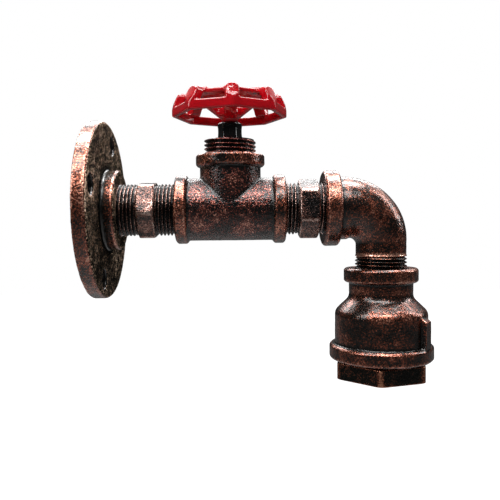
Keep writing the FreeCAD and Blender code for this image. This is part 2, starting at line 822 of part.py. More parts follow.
def handwheel():
    """Dished wheel: octagon skirt, eight arched lobes, a flat face, a pierced conical web and a hub."""
    body = make_body("handwheel", x=TEE_X, z=SKIRT_BASE, turn="wheel_turn")
    sides = SIZES["wheel_sides"]
    flat = f"cos({180 / sides} deg)"
    skirt_inside = f"(wheel_radius * {flat} - skirt_wall)"
    revolve(body, "Dish", [
        (skirt_inside, "0"),
        ("wheel_radius", "0"),
        ("wheel_radius", "skirt_height * 0.7"),
        ("lobe_cheek", "lobe_height / 2"),
        ("lobe_brow", "lobe_height - 0.4"),
        ("lobe_crown", "lobe_height"),
        ("face_inner", "lobe_height"),
        ("face_inner", "lobe_height - face_drop - lobe_thick"),
        ("lobe_crown - lobe_thick", "lobe_height - face_drop - lobe_thick"),
        (skirt_inside, "skirt_height"),
    ])
    cut_top = "lobe_height - skirt_height + 1"
    window = valley(body, "Window", "face_outer", "(wheel_radius + 8)", "skirt_height", cut_top)
    dip = valley(body, "FaceDip", "(face_inner - 0.5)", "(face_outer + 1)", "lobe_height - face_drop", "face_drop + 1")
    polar(body, "Valleys", [window, dip], "Z_Axis", "wheel_sides")
    polar(body, "Arches", [lobe_arch(body)], "Z_Axis", "wheel_sides")
    trim = new_sketch(body, "SkirtTrimOutline", "XY_Plane")
    add_circle(trim, "0", "0", "wheel_radius + 4")
    add_loop(trim, polygon_points(sides, "wheel_radius"))
    pocket(body, "SkirtTrim", trim, "lobe_height + 1", reverse=True)
    hollow = new_sketch(body, "SkirtHollowOutline", "XY_Plane")
    add_loop(hollow, polygon_points(sides, f"({skirt_inside} / {flat})"))
    pocket(body, "SkirtHollow", hollow, "skirt_height", reverse=True)
    revolve(body, "Hub", [
        ("0", "0 - wheel_lift"),
        ("wheel_hub", "0 - wheel_lift"),
        ("wheel_hub", "wheel_hub_height - wheel_lift"),
        ("0", "wheel_hub_height - wheel_lift"),
    ])
    under = "(lobe_height - face_drop - lobe_thick)"
    revolve(body, "Web", [
        ("wheel_hub / 2", "0 - wheel_lift"),
        ("face_inner + lobe_thick / 2", under),
        ("face_inner + lobe_thick / 2", f"{under} + lobe_thick"),
        ("face_inner", f"{under} + lobe_thick"),
        ("wheel_hub / 2", "web_thick + web_thick - wheel_lift"),
    ])
    polar(body, "WebHoles", [web_hole(body)], "Z_Axis", "spoke_count")
    half = "stem_square / 2"
    square = new_sketch(body, "SquareHoleOutline", "XY_Plane", "0 - wheel_lift")
    add_loop(square, [(f"0 - {half}", f"0 - {half}"), (half, f"0 - {half}"), (half, half), (f"0 - {half}", half)])
    pocket(body, "SquareHole", square, "wheel_hub_height", reverse=True)
    return body


def wheel_washer():
    body = make_body("wheel_washer", x=TEE_X, z=HUB_TOP)
    revolve(body, "Disc", [
        ("stem_thread", "0"),
        ("washer_radius", "0"),
        ("washer_radius", "washer_thick"),
        ("stem_thread", "washer_thick"),
    ])
    return body


def wheel_nut():
    body = make_body("wheel_nut", x=TEE_X, z=f"{HUB_TOP} + washer_thick", turn="wheel_turn")
    pad(body, "Hexagon", "XY_Plane", [hexagon("nut_flats")], "nut_height")
    groove(body, "Bore", [
        ("0", "0"),
        ("stem_thread", "0"),
        ("stem_thread", "nut_height"),
        ("0", "nut_height"),
    ])
    return body


# --- lamp holder ---------------------------------------------------------


def socket_body():
    """Ceramic holder: its rim is clamped in the reducer by the bushing's end."""
    body = make_body("socket_body", x=DROP_X, z=SEAT_Z)
    revolve(body, "Holder", [
        ("0", "0"),
        ("holder_rim", "0"),
        ("holder_rim", f"0 - {RIM_THICK}"),
        ("holder_skirt", f"0 - {RIM_THICK}"),
        ("holder_skirt", f"0 - {HOLDER_HEIGHT}"),
        ("shell_radius", f"0 - {HOLDER_HEIGHT}"),
        ("shell_radius", "0 - holder_floor"),
        ("0", "0 - holder_floor"),
    ])
    groove(body, "ContactHole", [
        ("0", "0"),
        ("contact_stem + contact_fit", "0"),
        ("contact_stem + contact_fit", "0 - holder_floor"),
        ("0", "0 - holder_floor"),
    ])
    sketch = new_sketch(body, "RivetHoleOutline", "XY_Plane")
    add_circle(sketch, "0", "rivet_circle", "rivet_shank")
    hole = pocket(body, "RivetHole", sketch, "holder_floor")
    polar(body, "RivetHoles", [hole], "Z_Axis", "2")
    return body


def screw_shell():
    """Brass shell, riveted under the holder's floor: the bulb screws in below its step."""
    body = make_body("screw_shell", x=DROP_X, z=f"{SEAT_Z} - holder_floor")
    depth = f"(0 - {HOLDER_HEIGHT} + holder_floor + shell_inset)"
    grip = f"({depth} + shell_grip)"
    revolve(body, "Shell", [
        ("shell_hole", "0"),
        ("shell_radius - shell_step", "0"),
        ("shell_radius - shell_step", f"{grip} + shell_step"),
        ("shell_radius", grip),
        ("shell_radius", depth),
        ("shell_radius - shell_wall", depth),
        ("shell_radius - shell_wall", grip),
        ("shell_radius - shell_wall - shell_step", f"{grip} + shell_step"),
        ("shell_radius - shell_wall - shell_step", "0 - shell_wall"),
        ("shell_hole", "0 - shell_wall"),
    ])
    sketch = new_sketch(body, "RivetHoleOutline", "XY_Plane")
    add_circle(sketch, "0", "rivet_circle", "rivet_shank")
    hole = pocket(body, "RivetHole", sketch, "shell_wall")
    polar(body, "RivetHoles", [hole], "Z_Axis", "2")
    return body


def contact_pin():
    """Sprung centre contact: a head in the shell on a stem through the floor."""
    body = make_body("contact_pin", x=DROP_X, z=f"{SEAT_Z} - holder_floor - contact_drop")
    top = "(contact_drop + holder_floor + foot_thick + clip_thick + contact_tail)"
    revolve(body, "Pin", [
        ("0", "0 - contact_thick"),
        ("contact_head", "0 - contact_thick"),
        ("contact_head", "0"),
        ("contact_stem", "0"),
        ("contact_stem", top),
        ("0", top),
    ])
    return body


def contact_clip():
    """Clip on the contact's stem; it rests on the live terminal's foot."""
    body = make_body("contact_clip", x=DROP_X, z=f"{SEAT_Z} + foot_thick")
    revolve(body, "Ring", [
        ("contact_stem", "0"),
        ("clip_radius", "0"),
        ("clip_radius", "clip_thick"),
        ("contact_stem", "clip_thick"),
    ])
    return body


def contact_spring():
    """Space that the coil spring fills between the holder's floor and the contact's head."""
    body = make_body("contact_spring", x=DROP_X, z=f"{SEAT_Z} - holder_floor - contact_drop")
    revolve(body, "Coil", [
        ("spring_inside", "0"),
        ("spring_outside", "0"),
        ("spring_outside", "contact_drop"),
        ("spring_inside", "contact_drop"),
    ])
    return body


def terminal_place(side):
    """Middle of a terminal block, over which its lead comes down."""
    return ("0 - lead_drop", f"{side} * lead_spread")


def terminal(name, side, foot):
    """Brass block with a hole for its lead, a cross screw and a flat foot."""
    body = make_body(name, x=DROP_X, z=SEAT_Z)
    x, y = terminal_place(side)
    pad(body, "Block", "XY_Plane", [[
        (f"{x} - terminal_length / 2", f"{y} - terminal_width / 2"),
        (f"{x} + terminal_length / 2", f"{y} - terminal_width / 2"),
        (f"{x} + terminal_length / 2", f"{y} + terminal_width / 2"),
        (f"{x} - terminal_length / 2", f"{y} + terminal_width / 2"),
    ]], "terminal_height")
    pad(body, "Foot", "XY_Plane", [foot], "foot_thick")
    lead = new_sketch(body, "LeadHoleOutline", "XY_Plane", "terminal_height")
    add_circle(lead, x, y, "core_radius")
    pocket(body, "LeadHole", lead, "core_length")
    cross = new_sketch(body, "ScrewHoleOutline", "YZ_Plane", f"{x} - terminal_length / 2")
    add_circle(cross, y, "terminal_height / 2", "screw_shank")
    pocket(body, "ScrewHole", cross, "terminal_length / 2 - core_radius", reverse=True)
    return body


def live_terminal():
    """Its foot runs under the contact's clip."""
    x, y = terminal_place(-1)
    foot = [
        (x, f"{y} - foot_width / 2"),
        ("clip_radius", f"{y} - foot_width / 2"),
        ("clip_radius", "clip_radius"),
        ("0 - clip_radius", "clip_radius"),
        ("0 - clip_radius", "0 - clip_radius / 2"),
        (x, "0 - clip_radius / 2"),
    ]
    body = terminal("live_terminal", -1, foot)
    hole = new_sketch(body, "ContactHoleOutline", "XY_Plane", "foot_thick")
    add_circle(hole, "0", "0", "contact_stem + contact_fit")
    pocket(body, "ContactHole", hole, "foot_thick")
    return body


def neutral_terminal():
    """Its foot is held by one of the shell's rivets."""
    x, y = terminal_place(1)
    edge = "rivet_head + rivet_head / 4"
    foot = [
        (x, y),
        (edge, y),
        (edge, f"rivet_circle + {edge}"),
        (f"0 - {edge}", f"rivet_circle + {edge}"),
        (f"0 - {edge}", f"{y} + terminal_width / 2"),
        (x, f"{y} + terminal_width / 2"),
    ]
    body = terminal("neutral_terminal", 1, foot)
    hole = new_sketch(body, "RivetHoleOutline", "XY_Plane", "foot_thick")
    add_circle(hole, "0", "rivet_circle", "rivet_shank")
    pocket(body, "RivetHole", hole, "foot_thick")
    return body


def group(name, pieces, y=None, x=DROP_X, z=SEAT_Z):
    """Equal small pieces in one node, each its own solid."""
    compound = doc.addObject("Part::Compound", name)
    compound.Label = name
    compound.Links = pieces
    place(compound, x, y, z)
    doc.recompute()
    return compound


def part_cylinder(name, radius, length, x, y, z, way):
    """A cylinder that starts at a point and runs along a direction."""
    cylinder = doc.addObject("Part::Cylinder", name)
    cylinder.setExpression("Radius", link(radius))
    cylinder.setExpression("Height", link(length))
    turn = FreeCAD.Rotation(FreeCAD.Vector(0, 0, 1), FreeCAD.Vector(*way))
    cylinder.Placement = FreeCAD.Placement(FreeCAD.Vector(), turn)
    for letter, formula in (("x", x), ("y", y), ("z", z)):
        cylinder.setExpression(f"Placement.Base.{letter}", link(formula))
    return cylinder


def joined(name, kind, base, tool):
    result = doc.addObject("Part::" + kind, name)
    result.Base = base
    result.Tool = tool
    return result


def terminal_screws():
    """Slotted screws that pinch the leads in their terminals."""
    screws = []
    for number, side in enumerate((-1, 1), start=1):
        x, y = terminal_place(side)
        face = f"({x} - terminal_length / 2)"
        middle = "terminal_height / 2"
        label = f"TerminalScrew{number}"
        shank = part_cylinder(label + "Shank", "screw_shank", "terminal_length / 2 - core_radius",
                              face, y, middle, (1, 0, 0))
        head = part_cylinder(label + "Head", "screw_head", "screw_head_height", face, y, middle, (-1, 0, 0))
        screws.append(joined(label, "Fuse", shank, head))
    return group("terminal_screws", screws)


def shell_rivets():
    """Two rivets that hold the shell; one also clamps the neutral terminal's foot."""
    rivets = []
    for number, side in enumerate((-1, 1), start=1):
        y = f"{side} * rivet_circle"
        top = "foot_thick" if side > 0 else "0"
        bottom = "(0 - holder_floor - shell_wall)"
        label = f"ShellRivet{number}"
        shank = part_cylinder(label + "Shank", "rivet_shank", f"{top} - {bottom}", "0", y, bottom, (0, 0, 1))
        upper = part_cylinder(label + "Upper", "rivet_head", "rivet_head_height", "0", y, top, (0, 0, 1))
        lower = part_cylinder(label + "Lower", "rivet_head", "rivet_head_height", "0", y, bottom, (0, 0, -1))
        rivets.append(joined(label, "Fuse", joined(label + "Top", "Fuse", shank, upper), lower))
    return group("shell_rivets", rivets)


# --- inner leads ---------------------------------------------------------


def lead(name, side):
    """Insulated lead from its terminal, round the elbow and along the arm to the wall."""
    body = make_body(name, x=DROP_X, y=f"{side} * lead_spread")
    start_z = f"({SEAT_Z} + terminal_height)"
    path = new_sketch(body, "LeadPath", "XZ_Plane")
    radius = value("elbow_bend - lead_drop")
    bend = value("elbow_bend")
    rise = path.addGeometry(Part.LineSegment(
        FreeCAD.Vector(radius - bend, value(start_z), 0), FreeCAD.Vector(radius - bend, -bend, 0)))
    arc = quarter_path(path, "(elbow_bend - lead_drop)")
    end = f"(lead_inset + core_length - {DROP_X})"
    run = path.addGeometry(Part.LineSegment(
        FreeCAD.Vector(-bend, radius - bend, 0), FreeCAD.Vector(value(end), radius - bend, 0)))
    path.addConstraint(Sketcher.Constraint("Coincident", rise, 2, arc, 1))
    path.addConstraint(Sketcher.Constraint("Coincident", arc, 2, run, 1))
    pin_point(path, rise, 1, "0 - lead_drop", start_z)
    pin_point(path, run, 2, end, "0 - lead_drop")
    section = new_sketch(body, "LeadRound", "XY_Plane", start_z)
    add_circle(section, "0 - lead_drop", "0", "lead_radius")
    sweep = body.newObject("PartDesign::AdditivePipe", "Insulation")
    sweep.Profile = section
    sweep.Spine = (path, ["Edge1", "Edge2", "Edge3"])
    doc.recompute()
    core = new_sketch(body, "TerminalCoreOutline", "XY_Plane", start_z)
    add_circle(core, "0 - lead_drop", "0", "core_radius")
    tip = body.newObject("PartDesign::Pad", "TerminalCore")
    tip.Profile = core
    tip.Reversed = True
    tip.setExpression("Length", link("core_length"))
    wall_core = new_sketch(body, "WallCoreOutline", "YZ_Plane", end)
    add_circle(wall_core, "0", "0 - lead_drop", "core_radius")
    wall_tip = body.newObject("PartDesign::Pad", "WallCore")
    wall_tip.Profile = wall_core
    wall_tip.Reversed = True
    wall_tip.setExpression("Length", link("core_length"))
    doc.recompute()
    return body


def lead_ferrules():
    """Crimped sleeves on the leads' ends behind the flange."""
    sleeves = []
    for number, side in enumerate((-1, 1), start=1):
        y = f"{side} * lead_spread"
        outer = part_cylinder(f"Ferrule{number}Outside", "ferrule_radius", "core_length",
                              "lead_inset", y, "0 - lead_drop", (1, 0, 0))
        inner = part_cylinder(f"Ferrule{number}Inside", "core_radius", "core_length",
                              "lead_inset", y, "0 - lead_drop", (1, 0, 0))
        sleeves.append(joined(f"Ferrule{number}", "Cut", outer, inner))
    return group("lead_ferrules", sleeves, x=None, z=None)


# --- build and write -----------------------------------------------------


def build():
    fill_sheet()
    return [
        wall_flange(),
        hex_nipple("wall_nipple", WALL_HEX, "wall_hex", "(wall_gap + thread_grip)",
                   "(tee_gap_in + thread_grip)", "wall_hex_turn"),
        tee(),
        hex_nipple("arm_nipple", ARM_HEX, "arm_hex", "(tee_gap_out + thread_grip)",
                   "(elbow_gap + elbow_grip)", "arm_hex_turn"),
        street_elbow(),
        bell_reducer(),
        hex_bushing(),
        bonnet(),
        gland_packing(),
        gland_nut(),
        valve_stem(),
        stem_ring(),
        handwheel(),
        wheel_washer(),
        wheel_nut(),
        socket_body(),
        screw_shell(),
        contact_pin(),
        contact_clip(),
        contact_spring(),
        live_terminal(),
        neutral_terminal(),
        terminal_screws(),
        shell_rivets(),
        lead("live_lead", -1),
        lead("neutral_lead", 1),
        lead_ferrules(),
    ]


def check(pieces):
    for item in doc.Objects:
        if "Invalid" in item.State or "Error" in item.State:
            raise ValueError(f"{item.Name} failed: {item.State}")
    for piece in pieces:
        if piece.Shape.isNull() or not piece.Shape.isValid():
            raise ValueError(f"{piece.Label} has no valid shape")


def write(pieces):
    os.makedirs("parts", exist_ok=True)
    for piece in pieces:
        piece.Shape.exportStep(f"parts/{piece.Label}.step")
        print(piece.Label, len(piece.Shape.Solids), round(piece.Shape.Volume, 1))


sub_parts = build()
doc.recompute()
check(sub_parts)
write(sub_parts)
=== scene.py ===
import json
import math

import bmesh
import bpy
import numpy as np
from mathutils import Matrix, Vector, noise

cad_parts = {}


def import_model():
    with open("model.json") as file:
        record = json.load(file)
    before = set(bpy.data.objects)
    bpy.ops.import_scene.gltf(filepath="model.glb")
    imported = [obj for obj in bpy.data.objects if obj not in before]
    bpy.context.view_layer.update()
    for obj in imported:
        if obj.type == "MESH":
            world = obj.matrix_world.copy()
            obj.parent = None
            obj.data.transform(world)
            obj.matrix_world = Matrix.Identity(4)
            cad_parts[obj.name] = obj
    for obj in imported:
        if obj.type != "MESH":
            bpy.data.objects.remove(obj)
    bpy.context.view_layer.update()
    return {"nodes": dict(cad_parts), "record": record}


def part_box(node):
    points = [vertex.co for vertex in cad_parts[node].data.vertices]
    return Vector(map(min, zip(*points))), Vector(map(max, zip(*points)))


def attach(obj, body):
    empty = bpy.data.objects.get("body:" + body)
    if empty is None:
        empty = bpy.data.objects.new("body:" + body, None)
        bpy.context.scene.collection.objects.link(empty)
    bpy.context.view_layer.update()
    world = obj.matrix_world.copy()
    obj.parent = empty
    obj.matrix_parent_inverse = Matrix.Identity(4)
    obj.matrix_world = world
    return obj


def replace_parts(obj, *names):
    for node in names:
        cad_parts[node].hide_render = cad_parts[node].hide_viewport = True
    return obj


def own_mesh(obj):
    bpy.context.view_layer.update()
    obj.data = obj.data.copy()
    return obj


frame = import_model()
NODES = frame["nodes"]
MM = 0.001

# ---------------------------------------------------------------- places, read from the frame
TEE_X = sum(c.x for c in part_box("bonnet")) / 2
DROP_X = sum(c.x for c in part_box("bell_reducer")) / 2
PIPE_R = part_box("bonnet")[1].y


def linked(name, data):
    """A new object in the scene."""
    made = bpy.data.objects.new(name, data)
    bpy.context.scene.collection.objects.link(made)
    return made


# ---------------------------------------------------------------- camera
LENS = 41.07
SENSOR = 36
CAMERA_AT = Vector((0.07523, -0.29477, -0.00851))
YAW, PITCH, ROLL = (math.radians(a) for a in (0.71, 2.44, 0.59))

right = Vector((math.cos(YAW), -math.sin(YAW), 0))
level = Vector((math.sin(YAW), math.cos(YAW), 0))
forward = level * math.cos(PITCH) - Vector((0, 0, 1)) * math.sin(PITCH)
up = level * math.sin(PITCH) + Vector((0, 0, 1)) * math.cos(PITCH)
side = right * math.cos(ROLL) - up * math.sin(ROLL)
head = right * math.sin(ROLL) + up * math.cos(ROLL)
camera_data = bpy.data.cameras.new("camera")
camera_data.lens = LENS
camera_data.sensor_width = SENSOR
camera = linked("camera", camera_data)
camera.matrix_world = Matrix((
    (side.x, head.x, -forward.x, CAMERA_AT.x),
    (side.y, head.y, -forward.y, CAMERA_AT.y),
    (side.z, head.z, -forward.z, CAMERA_AT.z),
    (0, 0, 0, 1)))
bpy.context.scene.camera = camera
bpy.context.scene.view_settings.view_transform = "Standard"


# ---------------------------------------------------------------- node trees
class Tree:
    """Short calls for a material's or world's nodes."""

    def __init__(self, owner):
        owner.use_nodes = True
        self.tree = owner.node_tree
        self.tree.nodes.clear()

    def add(self, kind, values=None, **settings):
        """A node with its settings and with values or links in its inputs."""
        node = self.tree.nodes.new(kind)
        for key, setting in settings.items():
            setattr(node, key, setting)
        for key, given in (values or {}).items():
            self.put(node.inputs[key], given)
        return node

    def put(self, socket, given):
        """Links another node's output to the socket, or sets its value."""
        if isinstance(given, bpy.types.NodeSocket):
            self.tree.links.new(given, socket)
        else:
            socket.default_value = given

    def math(self, operation, *given, clamp=False):
        """One sum."""
        node = self.add("ShaderNodeMath", operation=operation, use_clamp=clamp)
        for socket, item in zip(node.inputs, given):
            self.put(socket, item)
        return node.outputs[0]

    def swing(self, value, amount, base):
        """The base, moved up and down by how far a value from 0 to 1 is off its middle."""
        off_middle = self.math("SUBTRACT", value, 0.5)
        return self.math("MULTIPLY_ADD", off_middle, amount, base)

    def blend(self, factor, one, two):
        """One colour at 0 and the other at 1."""
        node = self.add("ShaderNodeMix", data_type="RGBA")
        self.put(node.inputs["Factor"], factor)
        self.put(node.inputs["A"], (*one, 1))
        self.put(node.inputs["B"], (*two, 1))
        return node.outputs["Result"]

    def ramp(self, factor, stops):
        """A colour for each place between 0 and 1."""
        node = self.add("ShaderNodeValToRGB", {"Fac": factor})
        elements = node.color_ramp.elements
        while len(elements) < len(stops):
            elements.new(0.5)
        for element, (position, colour) in zip(elements, stops):
            element.position = position
            element.color = (*colour, 1)
        return node.outputs["Color"]

    def noise(self, where, scale, detail, rough=0.55):
        """Noise from 0 to 1, with its scale counted per metre."""
        node = self.add("ShaderNodeTexNoise", {"Vector": where, "Scale": scale, "Detail": detail,
                                               "Roughness": rough})
        return node.outputs["Fac"]

    def place(self):
        """The place on the object, in metres."""
        return self.add("ShaderNodeTexCoord").outputs["Object"]

    def bump(self, height, strength, distance, normal=None):
        """A normal tilted by a height, over another bump if one is given."""
        node = self.add("ShaderNodeBump", {"Height": height, "Strength": strength,
                                           "Distance": distance})
        if normal is not None:
            self.put(node.inputs["Normal"], normal)
        return node.outputs["Normal"]


def shader(tree, **values):
    """One principled surface; the names are its sockets with underscores."""
    node = tree.add("ShaderNodeBsdfPrincipled")
    for key, given in values.items():
        tree.put(node.inputs[key.replace("_", " ")], given)
    tree.add("ShaderNodeOutputMaterial", {"Surface": node.outputs[0]})


# ---------------------------------------------------------------- materials
PATCH_SCALE, CLOUD_SCALE, PIT_SCALE, FINE_SCALE = 85, 430, 800, 1300
PATCH_SWING, CLOUD_SWING, FINE_SWING, WEAR_AND_SHADE_SWING = 1.6, 0.75, 1.9, 1.3
PIT_GAIN, PIT_CUT, PIT_DARKENING, PIT_DULLING = 9.0, 5.2, 0.55, 0.25
GLOSS_SWING = 0.6
CLOUD_HEIGHT, FINE_HEIGHT = 0.35 * MM, 0.30 * MM
TONE_STOPS = (0.0, 0.22, 0.45, 0.70, 1.0)


def patina(name, dark, brown, copper, bright, share, grain=1.0, gloss=0.30, speckle=1.0,
           pitting=1.0, lacquer=0.55, edge=1.0):
    """Darkened copper: cloudy brown metal, brighter where it is rubbed and darker where shade is
    painted in corners, with black pits and grain.

    The share puts its middle tone between dark at 0 and bright at 1. Grain, speckle and pitting
    scale its bumps, its mottling and its pits; gloss is its roughness, lacquer the weight of its
    clear coat and edge the brightness of its shine at a grazing angle.
    """
    material = bpy.data.materials.new(name)
    tree = Tree(material)
    where = tree.place()
    wear_and_shade = tree.add("ShaderNodeAttribute", attribute_name="wear_and_shade").outputs["Fac"]
    patches = tree.noise(where, PATCH_SCALE, 4, 0.6)
    clouds = tree.noise(where, CLOUD_SCALE, 3, 0.6)
    fine = tree.noise(where, FINE_SCALE, 2)
    pits = tree.math("MULTIPLY_ADD", tree.noise(where, PIT_SCALE, 2, 0.7),
                     PIT_GAIN * pitting, -PIT_CUT * pitting, clamp=True)
    tone = tree.swing(patches, PATCH_SWING, share)
    tone = tree.swing(clouds, CLOUD_SWING * speckle, tone)
    tone = tree.swing(fine, FINE_SWING * speckle, tone)
    # Per vertex: rubbed edges lighter; painted shade in corners, thread roots and beside steps
    # darker.
    tone = tree.swing(wear_and_shade, WEAR_AND_SHADE_SWING, tone)
    tone = tree.math("SUBTRACT", tone, tree.math("MULTIPLY", pits, PIT_DARKENING), clamp=True)
    colour = tree.ramp(tone, list(zip(TONE_STOPS, (dark, dark, brown, copper, bright))))
    rough = tree.swing(fine, GLOSS_SWING, gloss)
    rough = tree.math("MULTIPLY_ADD", pits, PIT_DULLING, rough, clamp=True)
    normal = tree.bump(clouds, 1.0, CLOUD_HEIGHT * grain)
    normal = tree.bump(fine, 1.0, FINE_HEIGHT * grain, normal)
    shader(tree, Base_Color=colour, Metallic=0.9, Roughness=rough, Normal=normal,
           Coat_Weight=lacquer, Coat_Roughness=0.16, Coat_IOR=1.6, Coat_Normal=normal,
           Specular_Tint=(edge, edge, edge, 1))
    return material


def enamel(name, colour, shade, rough, bumpiness, coat):
    """Glossy paint with a slight wave and a little dust in its tone."""
    material = bpy.data.materials.new(name)
    tree = Tree(material)
    where = tree.place()
    cloud = tree.noise(where, 140, 3)
    fine = tree.noise(where, 900, 2)
    uneven = tree.math("MULTIPLY_ADD", fine, 0.05, rough)
    normal = tree.bump(cloud, bumpiness, 0.6 * MM)
    shader(tree, Base_Color=tree.blend(cloud, shade, colour), Roughness=uneven, Normal=normal,
           Coat_Weight=coat, Coat_Roughness=0.06)
    return material


def plain_metal(name, colour, shade, rough):
    """Bright or plated metal with clouded tone and roughness."""
    material = bpy.data.materials.new(name)
    tree = Tree(material)
    where = tree.place()
    cloud = tree.noise(where, 150, 3)
    fine = tree.noise(where, 1500, 2)
    uneven = tree.math("MULTIPLY_ADD", cloud, 0.2, rough)
    shader(tree, Base_Color=tree.blend(cloud, shade, colour), Metallic=1.0, Roughness=uneven,
           Normal=tree.bump(fine, 0.15, 0.1 * MM))
    return material


def dull(name, colour, shade, rough, coat=0.0):
    """Plastic, rubber or glazed ceramic."""
    material = bpy.data.materials.new(name)
    tree = Tree(material)
    where = tree.place()
    cloud = tree.noise(where, 150, 4)
    fine = tree.noise(where, 1800, 2)
    uneven = tree.math("MULTIPLY_ADD", fine, 0.15, rough)
    shader(tree, Base_Color=tree.blend(cloud, shade, colour), Roughness=uneven,
           Normal=tree.bump(fine, 0.12, 0.1 * MM), Coat_Weight=coat, Coat_Roughness=0.08)
    return material


CAST = patina("aged_casting", dark=(0.005, 0.004, 0.004), brown=(0.055, 0.014, 0.010),
              copper=(0.24, 0.050, 0.032), bright=(0.60, 0.30, 0.22), share=0.38, grain=0.8,
              gloss=0.27, speckle=1.2, pitting=1.1, lacquer=0.9)
SMOOTH = patina("aged_smooth_casting", dark=(0.006, 0.005, 0.004), brown=(0.085, 0.028, 0.015),
                copper=(0.40, 0.098, 0.048), bright=(0.80, 0.42, 0.30), share=0.45, grain=0.4,
                gloss=0.25, speckle=0.7, pitting=1.5, lacquer=1.0)
PLATE = patina("aged_plate", dark=(0.004, 0.004, 0.003), brown=(0.050, 0.043, 0.032),
               copper=(0.30, 0.22, 0.15), bright=(0.90, 0.65, 0.48), share=0.37, grain=3.0,
               gloss=0.36, speckle=2.1, pitting=1.3, lacquer=0.0, edge=0.25)
STEEL = patina("aged_steel", dark=(0.008, 0.007, 0.007), brown=(0.05, 0.030, 0.026),
               copper=(0.26, 0.11, 0.08), bright=(0.62, 0.46, 0.40), share=0.42, grain=0.6,
               gloss=0.24, speckle=0.7, pitting=0.6)
RED_STEEL = patina("aged_steel_red", dark=(0.014, 0.006, 0.006), brown=(0.090, 0.020, 0.017),
                   copper=(0.32, 0.070, 0.052), bright=(0.62, 0.30, 0.23), share=0.50, grain=0.4,
                   gloss=0.24, speckle=0.5, pitting=0.4)
IRON = patina("aged_bushing", dark=(0.007, 0.007, 0.006), brown=(0.024, 0.017, 0.012),
              copper=(0.28, 0.08, 0.042), bright=(0.60, 0.28, 0.17), share=0.30, grain=0.6,
              gloss=0.30, speckle=0.7, pitting=0.4, lacquer=0.25)
RED = enamel("red_enamel", (0.80, 0.006, 0.016), (0.46, 0.003, 0.008), 0.04, 0.35, coat=0.4)
BLACK = enamel("black_enamel", (0.004, 0.0045, 0.0045), (0.002, 0.002, 0.0025), 0.05, 0.8,
               coat=0.3)
PLATED = plain_metal("plated_steel", (0.20, 0.20, 0.21), (0.12, 0.12, 0.125), 0.55)
BRASS = plain_metal("brass", (0.80, 0.58, 0.25), (0.62, 0.40, 0.15), 0.2)
TIN = plain_metal("tinned_copper", (0.70, 0.66, 0.62), (0.55, 0.5, 0.46), 0.3)
PORCELAIN = dull("porcelain", (0.86, 0.85, 0.81), (0.74, 0.72, 0.67), 0.18, coat=0.5)
PACKING = dull("packing", (0.04, 0.04, 0.04), (0.02, 0.02, 0.02), 0.6)
BROWN = dull("brown_sleeve", (0.17, 0.075, 0.03), (0.12, 0.05, 0.02), 0.45)
BLUE = dull("blue_sleeve", (0.05, 0.15, 0.42), (0.035, 0.10, 0.32), 0.45)
FINISH = {
    "aged_casting": CAST, "aged_steel": STEEL, "black_enamel": BLACK, "red_enamel": RED,
    "plated_steel": PLATED, "packing": PACKING, "porcelain": PORCELAIN, "brass": BRASS,
    "tinned_copper": TIN, "brown_sleeve": BROWN, "blue_sleeve": BLUE,
}


# ---------------------------------------------------------------- meshes
def piece_from(name, points, faces, material, body="fittings"):
    """A mesh object in the frame's metres, smooth shaded, riding on a body."""
    mesh = bpy.data.meshes.new(name)
    mesh.from_pydata([tuple(p) for p in points], [], [tuple(f) for f in faces])
    mesh.validate()
    mesh.shade_smooth()
    made = linked(name, mesh)
    made.data.materials.append(material)
    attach(made, body)
    return made


def with_modifier(mesh, kind, **settings):
    """A new mesh: the given one after one modifier."""
    carrier = linked("carrier", mesh)
    modifier = carrier.modifiers.new("step", kind)
    for key, given in settings.items():
        setattr(modifier, key, given)
    graph = bpy.context.evaluated_depsgraph_get()
    result = bpy.data.meshes.new_from_object(carrier.evaluated_get(graph))
    bpy.data.objects.remove(carrier)
    return result


def arrays(mesh):
    """Vertex places and edges as arrays."""
    points = np.empty(len(mesh.vertices) * 3)
    mesh.vertices.foreach_get("co", points)
    edges = np.empty(len(mesh.edges) * 2, int)
    mesh.edges.foreach_get("vertices", edges)
    return points.reshape(-1, 3), edges.reshape(-1, 2)


def settled(points, edges, rounds):
    """Points after some rounds of moving halfway to their neighbours' mean."""
    count = np.bincount(edges.ravel(), minlength=len(points)).astype(float)
    for _ in range(rounds):
        total = np.empty_like(points)
        for axis in range(3):
            total[:, axis] = (np.bincount(edges[:, 0], points[edges[:, 1], axis], len(points))
                              + np.bincount(edges[:, 1], points[edges[:, 0], axis], len(points)))
        points = points + 0.5 * (total / count[:, None] - points)
    return points


def normals_of(mesh):
    """Vertex normals as an array."""
    found = np.empty(len(mesh.vertices) * 3)
    mesh.vertex_normals.foreach_get("vector", found)
    return found.reshape(-1, 3)


def set_points(mesh, points):
    """Moves the vertices to new places."""
    mesh.vertices.foreach_set("co", points.astype(np.float32).ravel())
    mesh.update()


def set_wear_and_shade(mesh, wear_and_shade):
    """Keeps how worn each vertex is and where shade is painted on it, for the patina."""
    attribute = mesh.attributes.get("wear_and_shade") or mesh.attributes.new("wear_and_shade", "FLOAT", "POINT")
    attribute.data.foreach_set("value", np.clip(wear_and_shade, 0, 1).astype(np.float32))


# ---------------------------------------------------------------- castings
EDGE_HEIGHT = 0.16 * MM         # how far an edge stands out where it counts in full
CORNER_DEPTH = 0.22 * MM        # how deep a corner lies where its painted shade is full
# How much rubbing an edge gains, and how much painted shade darkens a corner.
EDGE_GAIN, CORNER_SHADE = 0.3, 0.5
WAVE_SCALE, GRAIN_SCALE = 140, 520


